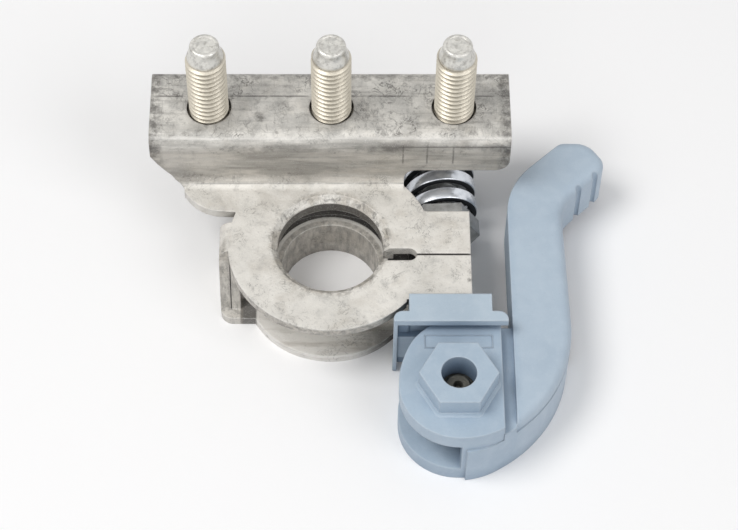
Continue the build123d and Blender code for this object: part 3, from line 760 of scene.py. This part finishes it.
def boss_foot():
    """The concave fillet round the foot of the hexagonal boss, closed inside the boss."""
    boss, wide, tall, turns = 6.5, 0.62, 0.85, 5
    foot, base = CHEEK_TOP - 0.15, CHEEK_TOP - SUNK
    verts = blunt_hexagon(boss + wide, foot)
    for row in range(1, turns + 1):
        a = math.pi / 2 * row / turns
        reach = boss + wide * (1 - math.sin(a)) if row < turns else boss - 0.03
        verts += blunt_hexagon(reach, base + tall * (1 - math.cos(a)))
    width = 12
    faces = []
    for row in range(turns):
        faces += hoop(row * width, (row + 1) * width, width)
    inner_low = len(verts)
    for z in (foot, base + tall):
        verts += blunt_hexagon(boss - 0.4, z)
    inner_high = inner_low + width
    for k in range(width):
        n = (k + 1) % width
        for a, b in ((inner_low, 0), (inner_high, inner_low), (turns * width, inner_high)):
            faces.append((a + k, a + n, b + n, b + k))
    return cleaned(verts, faces)


stud = stud_model()
for turn, (name, x) in enumerate(STUD_X.items()):
    turned = Matrix.Rotation(math.radians(STUD_TURN * turn), 4, "Z")
    part = moved(stud, Matrix.Translation((x, STUD_Y, 0)) @ turned)
    piece("stud_" + name + "_threaded", part, STUD, "clamp", ("stud_" + name,), 30)
piece("eye_bolt_threaded", bolt_model(), BOLT, "bolt", ("eye_bolt",), 30)
piece("spring_flat_wire", spring_model(), SPRING, "clamp", ("spring",), 40)
piece("block_wing_wall", wing_wall(), BLOCK, "clamp")
piece("lower_plate_rear", plate_rear(), BODY, "clamp")
piece("cheek_frame", frame_on_cheek(), LEVER, "cam_lever")
piece("boss_foot", boss_foot(), LEVER, "cam_lever", angle=50)

# The CAD nodes, of which those with a thread and the spring are replaced above
looks = {
    "clamp_body": (BODY, "clamp_metal"),
    "pressure_block": (BLOCK, "block_plastic"),
    "spring_seat": (BOLT, "bolt_steel"),
    "spring": (SPRING, "spring_steel"),
    "spring_washer": (BOLT, "bolt_steel"),
    "lock_nut": (BOLT, "bolt_steel"),
    "lever": (LEVER, "lever_plastic"),
    "pivot_pin": (PIN, "bolt_steel"),
    "pin_retainer": (PIN, "bolt_steel"),
}
for name, (material, slot) in looks.items():
    dress(nodes[name], material)
    smooth(nodes[name], 30)
for name in STUD_X:
    dress(nodes["stud_" + name], STUD)
dress(nodes["eye_bolt"], BOLT)


# Studio

def area(name, place, size, energy, color):
    """A round soft lamp that points at the object."""
    light = bpy.data.lights.new(name, "AREA")
    light.shape = "DISK"
    light.size = size
    light.energy = energy
    light.color = color
    obj = bpy.data.objects.new(name, light)
    bpy.context.scene.collection.objects.link(obj)
    obj.location = place
    aim = Vector((0.0, 0.0, 0.01)) - Vector(place)
    obj.rotation_euler = aim.to_track_quat("-Z", "Y").to_euler()


area("key", (-0.52, -0.10, 0.98), 0.55, 5.5, (1.0, 0.99, 0.975))
area("side", (0.62, -0.50, 0.70), 0.6, 2.3, (0.99, 0.99, 1.0))
area("top", (0.02, -0.05, 1.20), 0.4, 0.35, (0.98, 0.98, 1.0))
area("front", (-0.14, -0.90, 0.55), 0.6, 1.5, (0.98, 0.99, 1.0))


def seen_by(tree, *rays):
    """1 for these kinds of ray and 0 for all others."""
    path = tree.nodes.new("ShaderNodeLightPath")
    seen = path.outputs[rays[0]]
    for ray in rays[1:]:
        either = tree.nodes.new("ShaderNodeMath")
        either.operation = "MAXIMUM"
        tree.links.new(seen, either.inputs[0])
        tree.links.new(path.outputs[ray], either.inputs[1])
        seen = either.outputs[0]
    return seen


def floor():
    """A plain pale floor, paler to the camera than to the light that bounces off it."""
    half = 3.0
    corners = [(-half, -half, 0), (half, -half, 0), (half, half, 0), (-half, half, 0)]
    mesh = bpy.data.meshes.new("floor")
    mesh.from_pydata(corners, [], [(0, 1, 2, 3)])
    obj = bpy.data.objects.new("floor", mesh)
    bpy.context.scene.collection.objects.link(obj)
    mat = bpy.data.materials.new("floor")
    mat.use_nodes = True
    tree = mat.node_tree
    shader = tree.nodes["Principled BSDF"]
    shader.inputs["Roughness"].default_value = 0.9
    shader.inputs["Specular IOR Level"].default_value = 0.1
    mix = tree.nodes.new("ShaderNodeMix")
    mix.data_type = "RGBA"
    tree.links.new(seen_by(tree, "Is Camera Ray", "Is Glossy Ray"), mix.inputs[MIX_FACTOR])
    mix.inputs[MIX_A].default_value = (0.74, 0.74, 0.76, 1)
    mix.inputs[MIX_B].default_value = (0.985, 0.985, 0.99, 1)
    tree.links.new(mix.outputs[MIX_OUT], shader.inputs["Base Color"])
    obj.data.materials.append(mat)
    obj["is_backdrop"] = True


def world():
    """White to the camera and in reflections, and a soft fill for all else."""
    w = bpy.data.worlds.new("studio")
    bpy.context.scene.world = w
    w.use_nodes = True
    tree = w.node_tree
    back = tree.nodes["Background"]
    strength = tree.nodes.new("ShaderNodeMapRange")
    strength.inputs["To Min"].default_value = 0.38
    strength.inputs["To Max"].default_value = 1.0
    seen = seen_by(tree, "Is Camera Ray", "Is Glossy Ray", "Is Transmission Ray")
    tree.links.new(seen, strength.inputs["Value"])
    tree.links.new(strength.outputs["Result"], back.inputs["Strength"])
    back.inputs["Color"].default_value = (1, 1, 1, 1)


def camera():
    """The photograph's angle: straight on and 56.3 degrees above the floor."""
    data = bpy.data.cameras.new("camera")
    data.lens = 110.7
    data.sensor_width = 36.0
    data.shift_x = 0.0325
    data.clip_start = 0.01
    data.clip_end = 20.0
    obj = bpy.data.objects.new("camera", data)
    bpy.context.scene.collection.objects.link(obj)
    e = math.radians(ELEVATION)
    up = Vector((0, math.sin(e), math.cos(e)))
    back = Vector((0, -math.cos(e), math.sin(e)))
    aim = Vector((CAMERA_RIGHT * MM, 0, 0)) + up * CAMERA_UP * MM
    obj.location = aim + back * CAMERA_DISTANCE * MM
    obj.rotation_euler = (math.radians(90 - ELEVATION), 0, 0)
    bpy.context.scene.camera = obj


floor()
world()
camera()
bpy.context.scene.view_settings.view_transform = "Standard"

save_bounds("finished", sizes)
